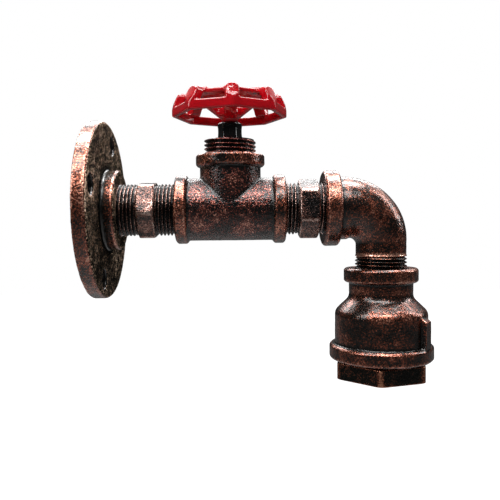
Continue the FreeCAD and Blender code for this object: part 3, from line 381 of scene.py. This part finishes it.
def edge_wear_and_corner_shade(mesh):
    """Half on flat ground, more on outward edges where they are rubbed, and nothing in corners and
    beside steps, where shade is painted.
    """
    points, edges = arrays(mesh)
    normals = normals_of(mesh)
    near = settled(points, edges, 8)
    far = settled(near, edges, 20)
    edge = np.clip(((points - near) * normals).sum(1) / EDGE_HEIGHT, 0, 1)
    # How deep a point lies in a corner, for the painted shade there.
    corner = np.clip(((far - points) * normals).sum(1) / CORNER_DEPTH, 0, 1)
    return 0.5 + EDGE_GAIN * edge - CORNER_SHADE * corner


def grain_heights(points, wide, narrow):
    """Height of a cast skin at each point: broad waves and close grain."""
    return np.array([wide * noise.noise(Vector(p) * WAVE_SCALE)
                     + narrow * noise.noise(Vector(p) * GRAIN_SCALE) for p in points])


def remeshed(node, voxel, rounds, keep):
    """The node's shape as an even mesh with its edges eased."""
    even = with_modifier(NODES[node].data.copy(), "REMESH", mode="VOXEL", voxel_size=voxel)
    points, edges = arrays(even)
    set_points(even, settled(points, edges, rounds))
    return with_modifier(even, "DECIMATE", ratio=keep)


def casting(node, material, voxel=0.40 * MM, rounds=1, keep=0.7, wide=0.08 * MM, narrow=0.05 * MM,
            body="fittings", swell=0.0, second=None, chosen=None, painted_shade_in=None):
    """A casting's skin: its node's shape with eased edges, a cast grain, and its wear with painted
    shade in its corners.

    Where chosen(centres, normals) holds, the faces take the second material; the points picked by the
    last function are never rubbed bright, which paints shade on them.
    """
    mesh = remeshed(node, voxel, rounds, keep)
    points, _ = arrays(mesh)
    wear_and_shade = edge_wear_and_corner_shade(mesh)
    # Points inside the picked places are set unrubbed: painted shade there.
    if painted_shade_in:
        wear_and_shade[painted_shade_in(points)] = 0
    set_wear_and_shade(mesh, wear_and_shade)
    low, high = (np.array(c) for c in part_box(node))
    heights = grain_heights(points, wide, narrow)
    moved = points + normals_of(mesh) * (heights - wide * 0.5 + swell)[:, None]
    set_points(mesh, np.clip(moved, low, high))
    mesh.shade_smooth()
    mesh.materials.clear()
    mesh.materials.append(material)
    if second:
        mesh.materials.append(second)
        centres, normals = (np.empty(len(mesh.polygons) * 3) for _ in range(2))
        mesh.polygons.foreach_get("center", centres)
        mesh.polygons.foreach_get("normal", normals)
        slots = chosen(centres.reshape(-1, 3), normals.reshape(-1, 3))
        mesh.polygons.foreach_set("material_index", slots.astype(np.int32))
    made = linked(node + "_skin", mesh)
    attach(made, body)
    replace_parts(made, node)
    return made


HOLE_CIRCLE_R = 36 * MM
HOLE_REACH = 5.2 * MM           # a little more than a hole's radius
FIRST_HOLE_TURN = 71.9          # degrees
BAND_FROM = 21.0 * MM           # from the tee's middle to where its bands begin


def in_screw_holes(points):
    """Which points lie on the walls of the flange's four screw holes."""
    inside = np.zeros(len(points), bool)
    for quarter in range(4):
        turn = math.radians(FIRST_HOLE_TURN + 90 * quarter)
        y, z = HOLE_CIRCLE_R * math.cos(turn), HOLE_CIRCLE_R * math.sin(turn)
        inside |= np.hypot(points[:, 1] - y, points[:, 2] - z) < HOLE_REACH
    return inside


def on_plate_faces(_, normals):
    """Which faces look along the arm: the flange's front and back."""
    return np.abs(normals[:, 0]) > 0.75


def on_tee_bands(centres, _):
    """Which faces lie on the three bands round the tee's mouths."""
    return (np.abs(centres[:, 0] - TEE_X) > BAND_FROM) | (centres[:, 2] > BAND_FROM)


# ---------------------------------------------------------------- turned pieces: threads and hexagons
SAW_FLAT = 0.16                 # the share of a thread's height lost at its crest and at its root
RINGS_PER_TURN = 12
RUN_OUT = 0.6                   # how fast a thread rises from its root where it starts and ends
THREAD_WEAR = 0.70              # on a thread's crest
SIDE_SOFTNESS, CHAMFER_SOFTNESS = 0.22 * MM, 0.18 * MM
CHAMFER_SLOPE = 1.7
EASE_DEPTH = 0.8                # how far an eased edge draws in, as a share of its length
RIM_WEAR, RIM_WIDTH = 0.45, 0.9 * MM
CORNER_WIDTH = 0.12             # how wide a rubbed corner is, as a share of half a side


def saw(phase):
    """A thread's section: one at the crest, nothing at the root."""
    height = 1 - np.abs(((phase % 1.0) - 0.5) * 2)
    return np.clip((height - SAW_FLAT) / (1 - 2 * SAW_FLAT), 0, 1)


def softly(one, two, soft):
    """The smaller of two radii, with the edge between them eased."""
    return two - soft * np.logaddexp(0, (two - one) / soft)


class Turned:
    """A piece made of rings round an axis, each ring a radius for every angle."""

    def __init__(self, steps=144):
        self.angles = np.linspace(0, 2 * np.pi, steps, endpoint=False)
        self.rings = []
        self.wear_and_shade_rows = []

    def ring(self, along, radius, wear_and_shade=0.5):
        """Adds a ring; its radius and its wear with painted shade are one value each, or one for
        every angle.
        """
        same = np.zeros_like(self.angles)
        self.rings.append((same + along, same + radius))
        self.wear_and_shade_rows.append(same + wear_and_shade)

    def thread(self, start, end, crest, pitch, depth, turn=0.0, fade=(True, True)):
        """A helical thread from start to end; fade says whether it runs out at each."""
        root = crest - depth
        count = max(2, int(abs(end - start) / pitch * RINGS_PER_TURN) + 1)
        for along in np.linspace(start, end, count):
            section = saw(along / pitch + self.angles / (2 * np.pi) + turn)
            radii = crest - depth * (1 - section)
            if fade[0]:
                radii = np.minimum(radii, root + abs(along - start) * RUN_OUT)
            if fade[1]:
                radii = np.minimum(radii, root + abs(end - along) * RUN_OUT)
            # Rubbed bright on the crest; the root gets nothing, which paints shade in it.
            self.ring(along, radii, THREAD_WEAR * section ** 3)

    def hexagon(self, start, end, flats, turn, ease, corner, rows=14, crisp=1.135):
        """A hexagon whose corners are chamfered towards both faces and whose edges are eased.

        Corner is the radius that the chamfer leaves at a face, and crisp the one that the rounded
        corners reach between the faces, both as shares of half the flats.
        """
        sixth = np.pi / 3
        off = (self.angles - turn + sixth / 2) % sixth - sixth / 2
        side = softly(flats / 2 / np.cos(off), flats / 2 * crisp, SIDE_SOFTNESS)
        near = np.abs(np.abs(off) - sixth / 2) / (sixth / 2)
        wear_and_shade = 0.5 + 0.5 * np.exp(-(near / CORNER_WIDTH) ** 2)
        half = 1 - np.cos(np.linspace(0.25, np.pi / 2, rows // 2))
        shares = np.unique(np.round(np.concatenate([[0], half, 2 - half, [2]]) / 2, 5))
        for share in shares:
            inset = min(share, 1 - share) * abs(end - start)
            radii = softly(side, flats / 2 * corner + inset * CHAMFER_SLOPE, CHAMFER_SOFTNESS)
            radii = radii - ease * max(0.0, 1 - inset / ease) ** 2 * EASE_DEPTH
            rim = RIM_WEAR * max(0.0, 1 - inset / RIM_WIDTH)
            self.ring(start + (end - start) * share, radii, np.clip(wear_and_shade + rim, 0, 1))

    def made(self, name, centre, axis, material):
        """The mesh; axis is a letter, x or z, and centre its two other places."""
        points = []
        for along, radii in self.rings:
            one = centre[0] + radii * np.cos(self.angles)
            two = centre[1] + radii * np.sin(self.angles)
            points.append(np.stack([along, one, two] if axis == "x" else [one, two, along], 1))
        faces = []
        count, rows = len(self.angles), len(self.rings)
        for row in range(rows):
            here, after = row * count, (row + 1) % rows * count
            for k in range(count):
                n = (k + 1) % count
                faces.append((here + k, here + n, after + n, after + k))
        piece = piece_from(name, np.concatenate(points), faces, material)
        set_wear_and_shade(piece.data, np.concatenate(self.wear_and_shade_rows))
        shell = bmesh.new()
        shell.from_mesh(piece.data)
        bmesh.ops.recalc_face_normals(shell, faces=shell.faces)
        shell.to_mesh(piece.data)
        shell.free()
        return piece


PITCH_PIPE = 1.814 * MM
DEPTH_PIPE = 1.15 * MM
ROOT_PIPE = PIPE_R - DEPTH_PIPE
MARGIN = 0.1 * MM               # from a thread's last ring to the face beside it
BORE = 10 * MM

NIPPLE_FLATS = 27.2 * MM
WALL_HEXAGON = (22.6 * MM, 31.2 * MM)
WALL_HEXAGON_TURN = 37          # degrees
ARM_HEXAGON = (104.0 * MM, 114.0 * MM)
ARM_HEXAGON_TURN = 53           # degrees


def nipple(node, hexagon, turn):
    """Hexagon nipple: a pipe thread on both sides of its hexagon."""
    low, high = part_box(node)
    start, end = hexagon
    t = Turned()
    t.ring(low.x, BORE)
    t.ring(low.x, ROOT_PIPE)
    t.thread(low.x + MARGIN, start - MARGIN, PIPE_R, PITCH_PIPE, DEPTH_PIPE)
    # Beside the hexagon the root is barely rubbed, which paints shade at the step.
    t.ring(start, ROOT_PIPE, wear_and_shade=0.1)
    t.hexagon(start, end, NIPPLE_FLATS, math.radians(turn), ease=0.5 * MM, corner=1.04)
    t.ring(end, ROOT_PIPE, wear_and_shade=0.1)
    t.thread(end + MARGIN, high.x - MARGIN, PIPE_R, PITCH_PIPE, DEPTH_PIPE, turn=0.35)
    t.ring(high.x, ROOT_PIPE)
    t.ring(high.x, BORE)
    made = t.made(node + "_turned", (0, 0), "x", STEEL)
    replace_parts(made, node)


STEM_HOLE = 3.08 * MM
GLAND_CUP = 4.8 * MM
CUP_DEPTH = 9.5 * MM
BONNET_PITCH = 2.05 * MM
BONNET_DEPTH = 1.25 * MM
TOP_DROP = 0.9 * MM


def bonnet_turned():
    """Threaded plug whose last crests stand above the tee's branch."""
    low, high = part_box("bonnet")
    t = Turned()
    t.ring(low.z, STEM_HOLE)
    t.ring(low.z, PIPE_R - BONNET_DEPTH)
    t.thread(low.z + MARGIN, high.z - MARGIN, PIPE_R, BONNET_PITCH, BONNET_DEPTH,
             fade=(True, False))
    t.ring(high.z, PIPE_R - TOP_DROP, wear_and_shade=0.8)
    t.ring(high.z, GLAND_CUP)
    t.ring(high.z - CUP_DEPTH, GLAND_CUP)
    t.ring(high.z - CUP_DEPTH, STEM_HOLE)
    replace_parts(t.made("bonnet_turned", (TEE_X, 0), "z", RED_STEEL), "bonnet")


GLAND_WAIST = 0.45 * MM


def gland_nut_turned():
    """Black gland nut: a cast hexagon with eased corners and a slight waist."""
    low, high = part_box("gland_nut")
    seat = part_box("bonnet")[1].z
    t = Turned()
    t.ring(low.z, STEM_HOLE)
    t.ring(low.z, GLAND_CUP)
    t.ring(seat, GLAND_CUP)
    first = len(t.rings)
    t.hexagon(seat, high.z, high.y - low.y, math.radians(30), ease=0.9 * MM, corner=1.02,
              rows=20)
    for k in range(first, len(t.rings)):
        along, radii = t.rings[k]
        share = (along[0] - seat) / (high.z - seat)
        t.rings[k] = (along, radii - GLAND_WAIST * math.sin(math.pi * share))
    t.ring(high.z, STEM_HOLE)
    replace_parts(t.made("gland_nut_turned", (TEE_X, 0), "z", BLACK), "gland_nut")


LEG_END = -24.5 * MM            # the lower edge of the elbow's full casting
LEG_BORE = 10.8 * MM
SHANK_R = 11.5 * MM
SHANK_DROP = 0.35 * MM
LIP_MIDDLE, LIP_REACH, LIP_R = 0.4 * MM, 0.8 * MM, 12 * MM


def elbow_tail(elbow):
    """The elbow's male thread, with the shank of its casting drawn in to carry it."""
    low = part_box("street_elbow")[0]
    points, _ = arrays(elbow.data)
    out = points[:, :2] - (DROP_X, 0)
    reach = np.hypot(out[:, 0], out[:, 1])
    drawn_in = np.minimum(1, SHANK_R / np.maximum(reach, MM))
    shrink = np.where(points[:, 2] < LEG_END - SHANK_DROP, drawn_in, 1)
    points[:, :2] = out * shrink[:, None] + (DROP_X, 0)
    set_points(elbow.data, points)
    wear_and_shade = np.empty(len(points), np.float32)
    elbow.data.attributes["wear_and_shade"].data.foreach_get("value", wear_and_shade)
    # The lip at the casting's lower edge is set fully rubbed: partly real rubbing, partly a painted
    # highlight along the lip.
    near_lip = np.abs(points[:, 2] - LEG_END - LIP_MIDDLE) < LIP_REACH
    wear_and_shade[near_lip & (reach > LIP_R)] = 1
    set_wear_and_shade(elbow.data, wear_and_shade)
    t = Turned()
    t.ring(LEG_END, LEG_BORE)
    # Under the casting's edge the root gets no wear, which paints shade at the step.
    t.ring(LEG_END, ROOT_PIPE, wear_and_shade=0)
    t.thread(LEG_END - MARGIN, low.z + MARGIN, PIPE_R, PITCH_PIPE, DEPTH_PIPE)
    t.ring(low.z, ROOT_PIPE)
    t.ring(low.z, LEG_BORE)
    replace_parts(t.made("street_elbow_thread", (DROP_X, 0), "z", IRON), "street_elbow")


OUTLET_R = 16.62 * MM
MOUTH_R = 20.955 * MM
MOUTH_PITCH = 2.309 * MM
MOUTH_DEPTH = 1.48 * MM
BUSHING_HEIGHT = 8.5 * MM
BUSHING_FLATS = 43.6 * MM
BUSHING_TURN = 46.4             # degrees
BUSHING_CHAMFER = 0.5 * MM


def hex_bushing_turned():
    """Bushing in the reducer's mouth: a broad hexagon below, the coarse thread above it."""
    low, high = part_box("hex_bushing")
    hex_top = low.z + BUSHING_HEIGHT
    root = MOUTH_R - MOUTH_DEPTH
    t = Turned(216)
    t.ring(low.z + BUSHING_CHAMFER, OUTLET_R)
    t.ring(low.z, OUTLET_R + BUSHING_CHAMFER, wear_and_shade=0.8)
    t.hexagon(low.z, hex_top, BUSHING_FLATS, math.radians(BUSHING_TURN), ease=0.4 * MM,
              corner=1.12, rows=20, crisp=1.149)
    # Above the hexagon the root gets no wear, which paints shade at the step.
    t.ring(hex_top, root, wear_and_shade=0)
    t.thread(hex_top + MARGIN, high.z - MARGIN, MOUTH_R, MOUTH_PITCH, MOUTH_DEPTH)
    t.ring(high.z, root)
    t.ring(high.z, OUTLET_R)
    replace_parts(t.made("hex_bushing_turned", (DROP_X, 0), "z", IRON), "hex_bushing")


SHELL_WALL = 0.7 * MM
SHELL_HOLE = 6.0 * MM
SHELL_STEP = 1.05 * MM
GRIP_LENGTH = 18.0 * MM
ROLL_PITCH = 3.6 * MM
ROLL_DEPTH = 0.45 * MM
ROLL_RINGS = 61
ROLL_START, ROLL_END = 2 * MM, 1 * MM


def screw_shell_rolled():
    """Brass shell whose lower part is rolled into the round thread that grips a bulb's cap."""
    low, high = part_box("screw_shell")
    outside = (high.x - low.x) / 2
    neck = outside - SHELL_STEP
    top, grip = high.z, low.z + GRIP_LENGTH
    t = Turned(96)
    t.ring(top - SHELL_WALL, SHELL_HOLE)
    t.ring(top, SHELL_HOLE)
    t.ring(top, neck)
    t.ring(grip + SHELL_STEP, neck)
    waves = []
    for along in np.linspace(grip, low.z, ROLL_RINGS):
        fade = min(1, (grip - along) / ROLL_START, (along - low.z) / ROLL_END)
        turn = along / ROLL_PITCH + t.angles / (2 * np.pi)
        waves.append((along, outside - fade * ROLL_DEPTH * (1 - np.cos(2 * np.pi * turn)) / 2))
    for along, radii in waves:
        t.ring(along, radii)
    for along, radii in reversed(waves):
        t.ring(along, radii - SHELL_WALL)
    t.ring(grip + SHELL_STEP, neck - SHELL_WALL)
    t.ring(top - SHELL_WALL, neck - SHELL_WALL)
    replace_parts(t.made("screw_shell_rolled", (DROP_X, 0), "z", BRASS), "screw_shell")


WIRE_R = 0.32 * MM
WIRE_FILL = 0.97                # the wire is drawn a little thinner than the room it has
WIRE_SIDES = 8
COIL_TURNS = 6.0
COIL_POINTS = 260
CLOSED_SHARE = 0.12             # how much of the wire lies flat at each end


def spring_coil():
    """Round wire wound under the contact's head, with its end turns closed."""
    low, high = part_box("contact_spring")
    radius = (high.x - low.x) / 2 - WIRE_R
    shares = np.linspace(0, 1, COIL_POINTS)
    angles = 2 * np.pi * COIL_TURNS * shares
    rise = np.clip((shares - CLOSED_SHARE) / (1 - 2 * CLOSED_SHARE), 0, 1)
    heights = low.z + WIRE_R + rise * (high.z - low.z - 2 * WIRE_R)
    points, faces = [], []
    for k, (angle, height) in enumerate(zip(angles, heights)):
        outward = Vector((math.cos(angle), math.sin(angle), 0))
        centre = Vector((DROP_X, 0, height)) + radius * outward
        here, before = WIRE_SIDES * k, WIRE_SIDES * (k - 1)
        for j in range(WIRE_SIDES):
            a = 2 * math.pi * j / WIRE_SIDES
            spoke = outward * math.cos(a) + Vector((0, 0, math.sin(a)))
            points.append(centre + WIRE_R * WIRE_FILL * spoke)
            if k:
                n = (j + 1) % WIRE_SIDES
                faces.append((before + j, before + n, here + n, here + j))
    last = WIRE_SIDES * (COIL_POINTS - 1)
    faces.append(tuple(range(WIRE_SIDES)))
    faces.append(tuple(last + j for j in reversed(range(WIRE_SIDES))))
    coil = piece_from("contact_spring_coil", points, faces, PLATED)
    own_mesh(coil)
    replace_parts(coil, "contact_spring")


# ---------------------------------------------------------------- the light
nipple("wall_nipple", WALL_HEXAGON, WALL_HEXAGON_TURN)
nipple("arm_nipple", ARM_HEXAGON, ARM_HEXAGON_TURN)
# The walls of the flange's screw holes get painted shade.
casting("wall_flange", SMOOTH, voxel=0.5 * MM, wide=0.06 * MM, narrow=0.06 * MM, second=PLATE,
        chosen=on_plate_faces, painted_shade_in=in_screw_holes)
casting("tee", CAST, second=SMOOTH, chosen=on_tee_bands)
elbow_tail(casting("street_elbow", SMOOTH))
casting("bell_reducer", SMOOTH)
casting("handwheel", RED, voxel=0.32 * MM, rounds=12, keep=0.8, wide=0.03 * MM, narrow=0.0,
        body="wheel", swell=0.22 * MM)
bonnet_turned()
gland_nut_turned()
hex_bushing_turned()
screw_shell_rolled()
spring_coil()

for node, made in NODES.items():
    slot = next(part["material_slot"] for part in frame["record"]["subparts"]
                if part["node"] == node)
    made.data.materials.clear()
    made.data.materials.append(FINISH[slot])

# ---------------------------------------------------------------- floor, world and lamps
FLOOR_Z = -0.75
FLOOR_REACH = 6.0
DIFFUSE_LEVEL = 0.16
MIDDLE = (0.085, 0, -0.01)


def floor():
    """Paper far below, which shows whiter to the camera the further away it lies."""
    mesh = bpy.data.meshes.new("floor")
    corners = [(-FLOOR_REACH, -FLOOR_REACH), (FLOOR_REACH, -FLOOR_REACH),
               (FLOOR_REACH, FLOOR_REACH), (-FLOOR_REACH, FLOOR_REACH)]
    mesh.from_pydata([(x, y, FLOOR_Z) for x, y in corners], [], [(0, 1, 2, 3)])
    ground = linked("floor", mesh)
    material = bpy.data.materials.new("floor_paper")
    tree = Tree(material)
    tone = tree.noise(tree.place(), 3, 2)
    colour = tree.ramp(tone, ((0.0, (0.60, 0.60, 0.60)), (1.0, (0.64, 0.64, 0.64))))
    paper = tree.add("ShaderNodeBsdfDiffuse", {"Color": colour})
    away = tree.add("ShaderNodeVectorMath", {0: tree.place()}, operation="LENGTH").outputs["Value"]
    far = tree.math("MULTIPLY_ADD", away, 0.8, -0.35, clamp=True)
    fill = tree.math("MULTIPLY_ADD", far, 0.35, 0.74)
    glow = tree.add("ShaderNodeEmission", {"Color": (1, 1, 1, 1), "Strength": fill})
    seen = tree.add("ShaderNodeLightPath").outputs
    direct = tree.math("MAXIMUM", seen["Is Camera Ray"], seen["Is Transmission Ray"])
    both = tree.add("ShaderNodeAddShader", {0: paper.outputs[0], 1: glow.outputs[0]})
    mixed = tree.add("ShaderNodeMixShader", {0: direct, 1: paper.outputs[0], 2: both.outputs[0]})
    tree.add("ShaderNodeOutputMaterial", {"Surface": mixed.outputs[0]})
    mesh.materials.append(material)


def world():
    """A white background; in reflections a paper high behind the light, in a dim room."""
    scene_world = bpy.data.worlds.new("studio")
    bpy.context.scene.world = scene_world
    tree = Tree(scene_world)
    seen = tree.add("ShaderNodeLightPath").outputs
    direct = tree.math("MAXIMUM", seen["Is Camera Ray"], seen["Is Transmission Ray"])
    generated = tree.add("ShaderNodeTexCoord").outputs["Generated"]
    way = tree.add("ShaderNodeSeparateXYZ", {0: generated}).outputs
    high = tree.math("MULTIPLY_ADD", way["Z"], 3.0, -0.8, clamp=True)
    behind = tree.math("MULTIPLY_ADD", way["Y"], 1.8, 0.1, clamp=True)
    room = tree.math("MULTIPLY_ADD", way["Z"], 0.10, 0.03, clamp=True)
    mirrored = tree.math("MAXIMUM", tree.math("MULTIPLY", high, behind), room)
    mirrored = tree.math("MULTIPLY", seen["Is Glossy Ray"], mirrored)
    others = tree.math("SUBTRACT", 1.0, seen["Is Glossy Ray"])
    strength = tree.math("ADD", mirrored, tree.math("MULTIPLY", others, DIFFUSE_LEVEL))
    strength = tree.math("MAXIMUM", strength, direct)
    paper = tree.add("ShaderNodeBackground", {"Color": (1, 1, 1, 1), "Strength": strength})
    tree.add("ShaderNodeOutputWorld", {"Surface": paper.outputs[0]})


def lamp(name, at, size, power, sheen=False):
    """A soft lamp turned to the light's middle; one for sheen shows only in reflections."""
    data = bpy.data.lights.new(name, "AREA")
    data.shape = "RECTANGLE"
    data.size, data.size_y = size
    data.energy = power
    made = linked(name, data)
    made.location = at
    made.rotation_mode = "QUATERNION"
    made.rotation_quaternion = (Vector(MIDDLE) - Vector(at)).to_track_quat("-Z", "Y")
    made.visible_diffuse = not sheen


floor()
world()
lamp("front", (0.0, -0.44, 0.68), (0.9, 0.20), 3.6)
lamp("top", (0.08, 0.10, 0.75), (0.9, 0.20), 3.8)
lamp("back", (0.08, 0.60, 0.42), (0.9, 0.10), 2.2)
lamp("left", (-0.55, -0.40, 0.40), (0.10, 0.5), 1.6)
lamp("right", (0.75, 0.12, 0.35), (0.08, 0.5), 1.2)
lamp("sheen_front", (0.0, -0.44, 0.68), (0.9, 0.22), 19.0, sheen=True)
lamp("sheen_top", (0.08, 0.12, 0.75), (0.9, 0.30), 7.0, sheen=True)
